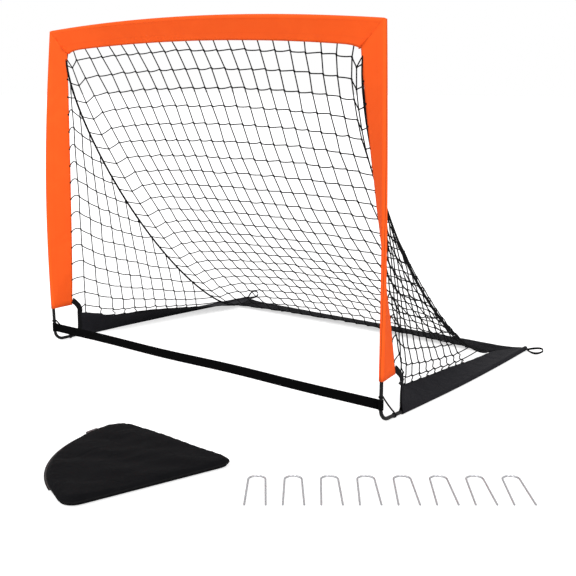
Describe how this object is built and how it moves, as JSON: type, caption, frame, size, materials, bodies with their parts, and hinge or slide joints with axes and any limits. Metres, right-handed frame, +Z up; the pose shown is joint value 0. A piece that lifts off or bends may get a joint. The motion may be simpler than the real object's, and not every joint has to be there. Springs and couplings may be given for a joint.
{
  "type": "pop-up soccer goal",
  "caption": "Small pop-up soccer goal: sprung frame in cloth sleeves, knotted net, ground skirts and strap, with its ground pegs and carry bag laid in front.",
  "frame": {"origin": "on the ground, at the middle of the box round the goal with its pegs and bag", "axes": "+Z up, mouth of the goal faces -Y, +X to the right of someone who looks into the goal"},
  "size_m": [1.678, 1.6318, 0.9265],
  "materials": {
    "black_cloth": "matt black polyester cloth",
    "orange_cloth": "bright orange polyester cloth",
    "black_cord": "black twine and webbing",
    "black_steel": "satin black steel tube",
    "fibreglass": "fibreglass rod",
    "bright_steel": "bright steel wire",
    "slider_metal": "dark zip metal"
  },
  "bodies": {
    "base_frame": {"corner_tube_left": "black_steel", "base_rod_left": "fibreglass", "rod_tip_left": "black_cord", "side_skirt_left": "black_cloth", "binding_tape_left": "black_cloth", "corner_cord_left": "black_cord", "edge_cord_left": "black_cord", "side_net_left": "black_cord", "corner_tube_right": "black_steel", "base_rod_right": "fibreglass", "rod_tip_right": "black_cord", "side_skirt_right": "black_cloth", "binding_tape_right": "black_cloth", "corner_cord_right": "black_cord", "edge_cord_right": "black_cord", "side_net_right": "black_cord", "rear_skirt": "black_cloth", "front_strap": "black_cord", "rear_net": "black_cord"},
    "front_frame": {"crossbar_sleeve": "orange_cloth", "crossbar_ferrule": "bright_steel", "post_sleeve_left": "orange_cloth", "post_sleeve_right": "orange_cloth", "post_rod_left": "fibreglass", "post_rod_right": "fibreglass", "crossbar_rod_left": "fibreglass", "crossbar_rod_right": "fibreglass", "top_corner_elbow_left": "black_steel", "top_corner_elbow_right": "black_steel"},
    "peg_loop_left": {"peg_loop_left": "black_cord"},
    "peg_loop_right": {"peg_loop_right": "black_cord"},
    "peg_1": {"peg_1": "bright_steel"},
    "peg_2": {"peg_2": "bright_steel"},
    "peg_3": {"peg_3": "bright_steel"},
    "peg_4": {"peg_4": "bright_steel"},
    "peg_5": {"peg_5": "bright_steel"},
    "peg_6": {"peg_6": "bright_steel"},
    "peg_7": {"peg_7": "bright_steel"},
    "peg_8": {"peg_8": "bright_steel"},
    "carry_bag": {"carry_bag": "black_cloth", "bag_tab": "black_cord", "bag_zip": "black_cloth"},
    "zip_slider": {"zip_slider": "slider_metal"}
  },
  "joints": [
    {"name": "front_frame_fold", "type": "hinge", "parent": "base_frame", "child": "front_frame", "pos_m": [-0.24025, -0.01776, 0.035], "axis": [-1, 0, 0], "range_deg": [0, 80], "stiffness_Nm_per_rad": 3, "springref_deg": -28.65, "deforming": ["rear_net", "side_net_left", "side_net_right", "edge_cord_left", "edge_cord_right", "binding_tape_left", "binding_tape_right", "corner_cord_left", "corner_cord_right", "corner_tube_left", "corner_tube_right", "side_skirt_left", "side_skirt_right", "front_strap"]},
    {"name": "peg_loop_left_lift", "type": "hinge", "parent": "base_frame", "child": "peg_loop_left", "pos_m": [-0.77925, 0.75284, 0.0103], "axis": [0.9848, 0.1736, 0], "range_deg": [0, 90]},
    {"name": "peg_loop_right_lift", "type": "hinge", "parent": "base_frame", "child": "peg_loop_right", "pos_m": [0.30754, 0.74624, 0.0103], "axis": [-0.3746, -0.9272, 0], "range_deg": [0, 90]},
    {"name": "peg_1_lift", "type": "slide", "parent": "base_frame", "child": "peg_1", "axis": [0, 0, 1], "range_m": [0, 0.25]},
    {"name": "peg_2_lift", "type": "slide", "parent": "base_frame", "child": "peg_2", "axis": [0, 0, 1], "range_m": [0, 0.25]},
    {"name": "peg_3_lift", "type": "slide", "parent": "base_frame", "child": "peg_3", "axis": [0, 0, 1], "range_m": [0, 0.25]},
    {"name": "peg_4_lift", "type": "slide", "parent": "base_frame", "child": "peg_4", "axis": [0, 0, 1], "range_m": [0, 0.25]},
    {"name": "peg_5_lift", "type": "slide", "parent": "base_frame", "child": "peg_5", "axis": [0, 0, 1], "range_m": [0, 0.25]},
    {"name": "peg_6_lift", "type": "slide", "parent": "base_frame", "child": "peg_6", "axis": [0, 0, 1], "range_m": [0, 0.25]},
    {"name": "peg_7_lift", "type": "slide", "parent": "base_frame", "child": "peg_7", "axis": [0, 0, 1], "range_m": [0, 0.25]},
    {"name": "peg_8_lift", "type": "slide", "parent": "base_frame", "child": "peg_8", "axis": [0, 0, 1], "range_m": [0, 0.25]},
    {"name": "bag_lift", "type": "slide", "parent": "base_frame", "child": "carry_bag", "axis": [0, 0, 1], "range_m": [0, 0.25]},
    {"name": "zip_slide", "type": "hinge", "parent": "carry_bag", "child": "zip_slider", "pos_m": [0.23884, -0.49122, 0.0105], "axis": [0, 0, 1], "range_deg": [0, 54]}
  ]
}
